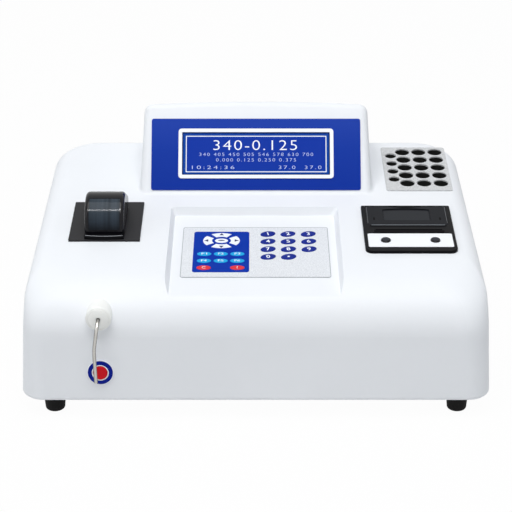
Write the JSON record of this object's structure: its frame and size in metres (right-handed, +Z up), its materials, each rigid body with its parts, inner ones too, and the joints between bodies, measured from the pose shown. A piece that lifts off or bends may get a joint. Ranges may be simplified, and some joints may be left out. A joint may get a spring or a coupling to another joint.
{
  "type": "semi-automatic chemistry analyzer",
  "caption": "Bench chemistry analyzer: sloped white housing with display hood, recessed keypad, domed reader cover, tube rack, panel printer and front sipper tube.",
  "frame": {"origin": "middle of the bounding box, on the surface that the feet stand on", "axes": "+X to the operator's right, +Y to the back, +Z up"},
  "size_m": [0.3996, 0.3244, 0.2069],
  "materials": {
    "housing_white": "fine satin moulded",
    "trim_white": "semi-gloss",
    "panel_blue": "printed film, satin",
    "display_glass": "clear over a grey display",
    "keypad_film": "printed film, fine texture",
    "reader_charcoal": "fine texture",
    "reader_black": "glossy moulded",
    "shield_black": "polished, see-through smoke",
    "steel": "polished",
    "zinc_steel": "zinc plated, satin",
    "rack_aluminium": "bead blasted, bright",
    "block_aluminium": "machined",
    "black_aluminium": "black anodised",
    "printer_black": "fine texture",
    "button_red": "glossy",
    "ring_blue": "satin print",
    "rubber_black": "matte",
    "circuit_green": "solder mask",
    "motor_steel": "satin",
    "pump_white": "machined acetal",
    "soft_tube": "translucent silicone",
    "optical_glass": "polished",
    "heater_amber": "polyimide film",
    "paper": "thermal paper",
    "inlet_black": "moulded"
  },
  "bodies": {
    "base": {"upper_housing": "housing_white", "chassis": "zinc_steel", "rear_panel": "zinc_steel", "feet": "rubber_black", "foot_screws": "steel", "rear_screws": "steel", "display_fascia": "panel_blue", "display_frame": "trim_white", "display_glass": "display_glass", "display_board": "circuit_green", "keypad_overlay": "keypad_film", "reader_plate": "reader_charcoal", "reader_collar": "reader_black", "reader_hinge_pin": "steel", "optical_bench": "black_aluminium", "cell_holder": "black_aluminium", "flow_cell": "optical_glass", "filter_motor": "motor_steel", "lamp_house": "black_aluminium", "halogen_lamp": "optical_glass", "detector_board": "circuit_green", "rack_plate": "rack_aluminium", "incubator_block": "block_aluminium", "heater_pad": "heater_amber", "printer_bezel": "printer_black", "tear_bar": "steel", "printer_strip": "keypad_film", "printer_tray": "printer_black", "print_head": "zinc_steel", "paper_roll": "paper", "sipper_boss": "trim_white", "sipper_tube": "steel", "aspirate_bezel": "trim_white", "aspirate_ring": "ring_blue", "aspirate_switch": "inlet_black", "pump_head": "pump_white", "pump_motor": "motor_steel", "pump_tube": "soft_tube", "sample_tube": "soft_tube", "fan_frame": "inlet_black", "power_inlet": "inlet_black", "serial_port": "zinc_steel", "waste_port": "pump_white", "main_board": "circuit_green", "power_supply": "zinc_steel"},
    "cover": {"reader_cover": "reader_black", "reader_shield": "shield_black"},
    "lid": {"printer_lid": "printer_black"},
    "platen": {"platen_roller": "rubber_black"},
    "feed_key": {"feed_button": "printer_black"},
    "select_key": {"select_button": "printer_black"},
    "aspirate_key": {"aspirate_button": "button_red"},
    "rocker": {"power_rocker": "inlet_black"},
    "fan": {"fan_rotor": "inlet_black"},
    "pump": {"pump_rotor": "pump_white"},
    "filters": {"filter_wheel": "black_aluminium", "filter_glasses": "optical_glass"},
    "roller_1": {"pump_roller_1": "steel"},
    "roller_2": {"pump_roller_2": "steel"},
    "roller_3": {"pump_roller_3": "steel"}
  },
  "joints": [
    {"name": "cover_hinge", "type": "hinge", "parent": "base", "child": "cover", "pos_m": [-0.1331, 0.01121, 0.13841], "axis": [-1, 0, 0], "range_deg": [0, 80]},
    {"name": "lid_hinge", "type": "hinge", "parent": "base", "child": "lid", "pos_m": [0.135, -0.02348, 0.12801], "axis": [1, 0, 0], "range_deg": [0, 95]},
    {"name": "platen_spin", "type": "hinge", "parent": "base", "child": "platen", "pos_m": [0.135, -0.03444, 0.11961], "axis": [1, 0, 0], "continuous": true},
    {"name": "feed_press", "type": "slide", "parent": "base", "child": "feed_key", "axis": [0, 0.1219, -0.9925], "range_m": [0, 0.001], "stiffness_N_per_m": 300},
    {"name": "select_press", "type": "slide", "parent": "base", "child": "select_key", "axis": [0, 0.1219, -0.9925], "range_m": [0, 0.001], "stiffness_N_per_m": 300},
    {"name": "aspirate_press", "type": "slide", "parent": "base", "child": "aspirate_key", "axis": [0, 0.9997, -0.0262], "range_m": [0, 0.0015], "stiffness_N_per_m": 300},
    {"name": "rocker_tilt", "type": "hinge", "parent": "base", "child": "rocker", "pos_m": [-0.0905, 0.14471, 0.05], "axis": [1, 0, 0], "range_deg": [0, 20]},
    {"name": "fan_spin", "type": "hinge", "parent": "base", "child": "fan", "pos_m": [0.095, 0.13721, 0.058], "axis": [0, 1, 0], "continuous": true},
    {"name": "pump_spin", "type": "hinge", "parent": "base", "child": "pump", "pos_m": [-0.06, -0.11129, 0.045], "axis": [0, 1, 0], "continuous": true},
    {"name": "filter_spin", "type": "hinge", "parent": "base", "child": "filters", "pos_m": [-0.1141, 0.02371, 0.09309], "axis": [0, 1, 0], "continuous": true},
    {"name": "roller_1_spin", "type": "hinge", "parent": "pump", "child": "roller_1", "pos_m": [-0.06, -0.11129, 0.0574], "axis": [0, 1, 0], "continuous": true},
    {"name": "roller_2_spin", "type": "hinge", "parent": "pump", "child": "roller_2", "pos_m": [-0.07074, -0.11129, 0.0388], "axis": [0, 1, 0], "continuous": true},
    {"name": "roller_3_spin", "type": "hinge", "parent": "pump", "child": "roller_3", "pos_m": [-0.04926, -0.11129, 0.0388], "axis": [0, 1, 0], "continuous": true}
  ],
  "couplings": [
    {"joint": "roller_1_spin", "follows": "pump_spin", "ratio": -4.2632},
    {"joint": "roller_2_spin", "follows": "pump_spin", "ratio": -4.2632},
    {"joint": "roller_3_spin", "follows": "pump_spin", "ratio": -4.2632}
  ]
}
